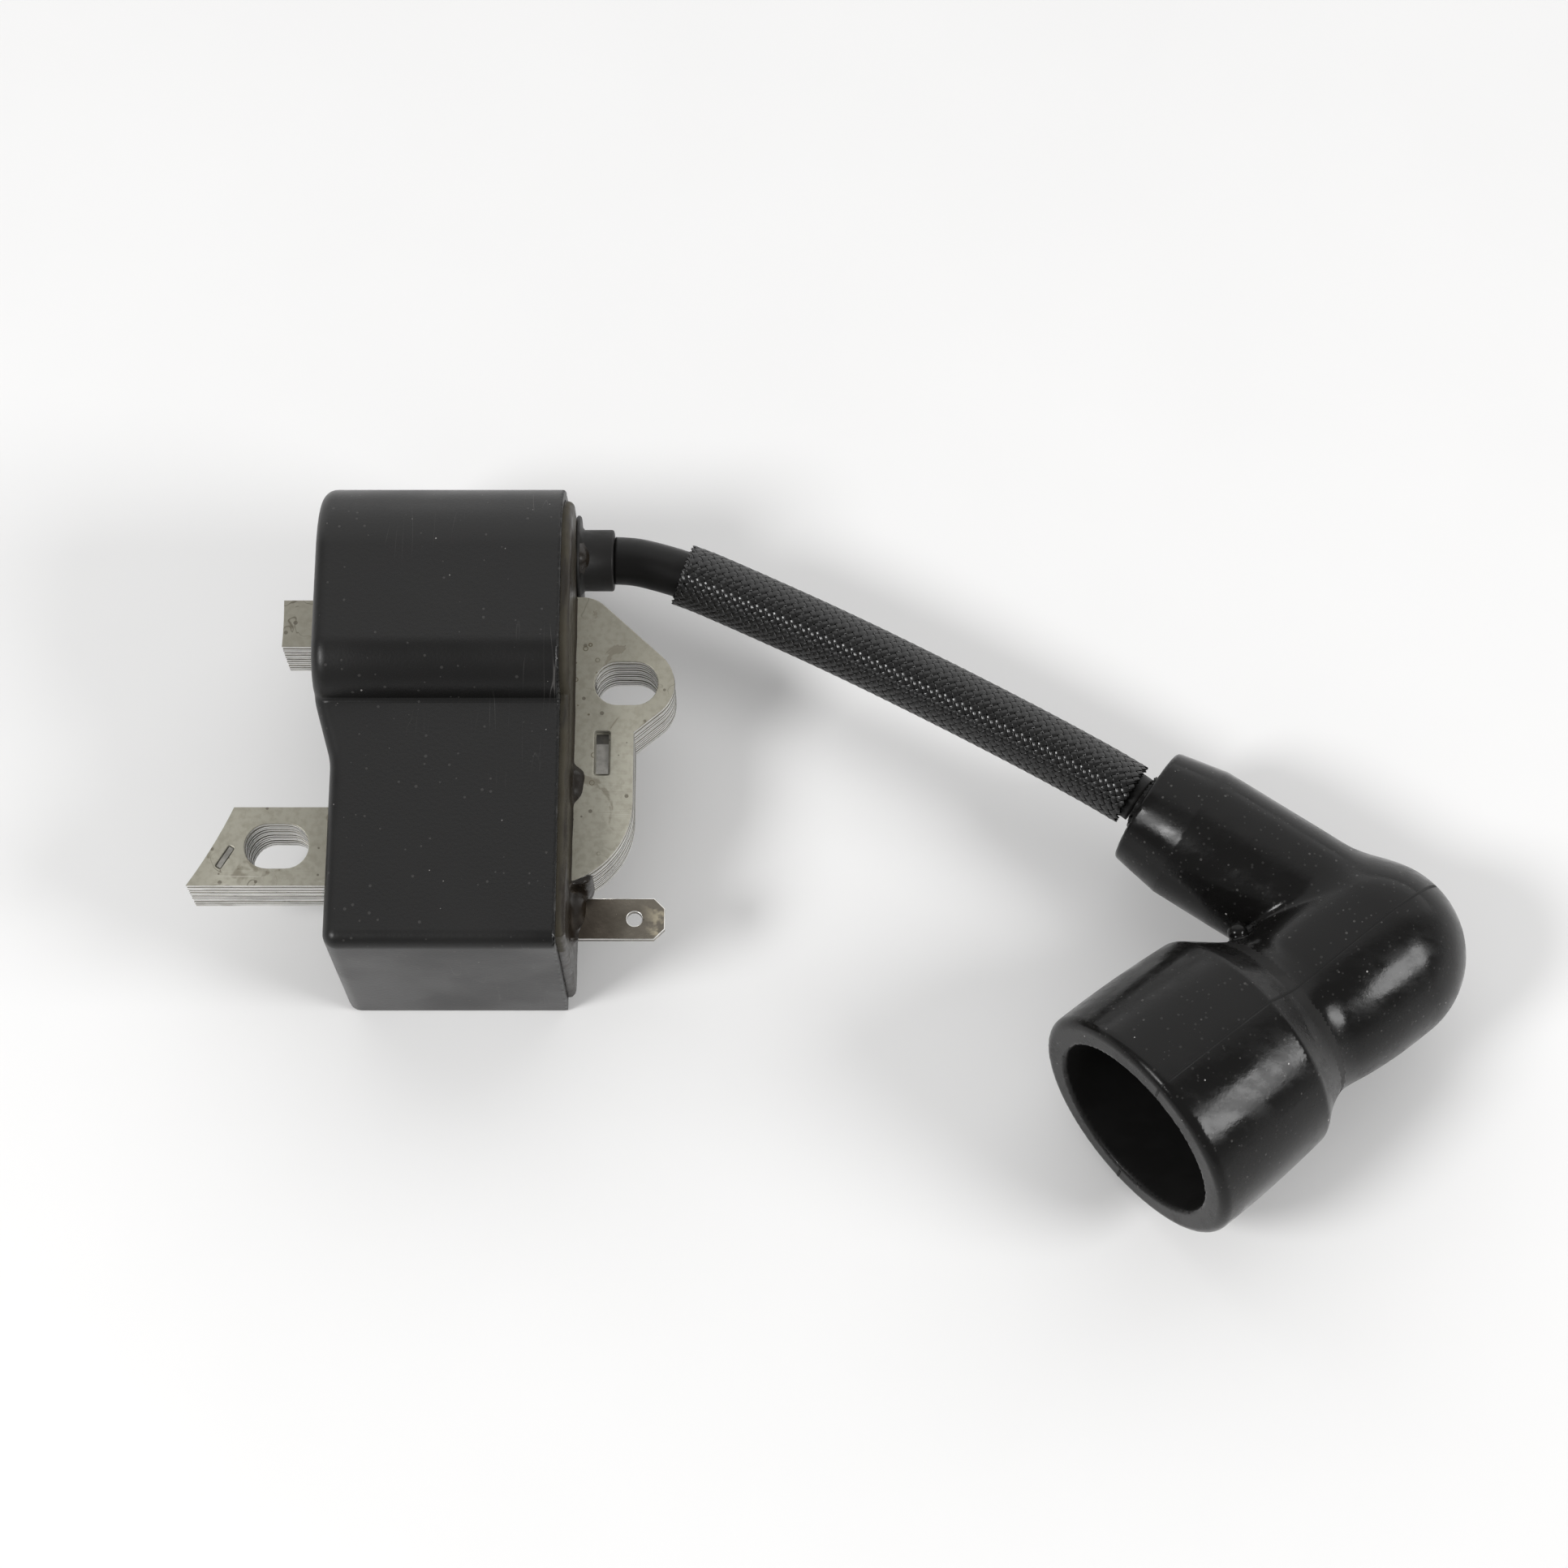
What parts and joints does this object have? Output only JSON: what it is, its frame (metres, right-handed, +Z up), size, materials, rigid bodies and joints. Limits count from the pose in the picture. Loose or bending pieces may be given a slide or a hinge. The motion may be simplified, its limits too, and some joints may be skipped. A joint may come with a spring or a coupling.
{
  "type": "ignition coil",
  "caption": "Potted flywheel ignition coil on a laminated steel core, with a short sleeved plug lead and an angled rubber plug boot.",
  "frame": {"origin": "on the case's flat underside, midway between its closed wall and its rim, 28 mm behind the front wall", "axes": "+X out of the potted side, towards the lead and the stop terminal; +Y from the front wall to the coil housing; +Z up from the underside"},
  "size_m": [0.1427, 0.0835, 0.031],
  "materials": {
    "case_plastic": "satin",
    "resin": "gloss",
    "core_steel": "satin",
    "former_plastic": "matte",
    "copper": "satin",
    "tinned": "satin",
    "board": "satin",
    "capacitor_film": "gloss",
    "component_black": "matte",
    "resistor_body": "satin",
    "strap_brass": "satin",
    "collar_rubber": "matte",
    "lead_rubber": "satin",
    "braid": "satin",
    "boot_rubber": "satin",
    "spring_steel": "polished"
  },
  "bodies": {
    "module": {"case": "case_plastic", "potting_resin": "resin", "core_stack": "core_steel", "primary_former": "former_plastic", "primary_winding": "copper", "charging_winding": "copper", "secondary_former": "former_plastic", "secondary_winding": "copper", "former_pins": "tinned", "circuit_board": "board", "storage_capacitor": "capacitor_film", "thyristor": "component_black", "rectifier_diodes": "component_black", "resistors": "resistor_body", "ground_strap": "strap_brass", "stop_terminal": "tinned", "output_pin": "tinned", "lead_collar": "collar_rubber", "lead_strands": "copper", "lead_root": "lead_rubber", "lead_insulation": "lead_rubber", "lead_tail": "lead_rubber"},
    "sleeve": {"braided_sleeve": "braid"},
    "boot": {"plug_boot": "boot_rubber", "contact_spring": "spring_steel"}
  },
  "joints": [
    {"name": "sleeve_slide", "type": "slide", "parent": "module", "child": "sleeve", "axis": [0.8933, -0.444, -0.0699], "range_m": [-0.0008, 0.001]},
    {"name": "boot_twist", "type": "hinge", "parent": "module", "child": "boot", "pos_m": [0.10441, -0.02301, 0.0111], "axis": [-0.832, 0.5548, 0], "range_deg": [-90, 90]}
  ]
}
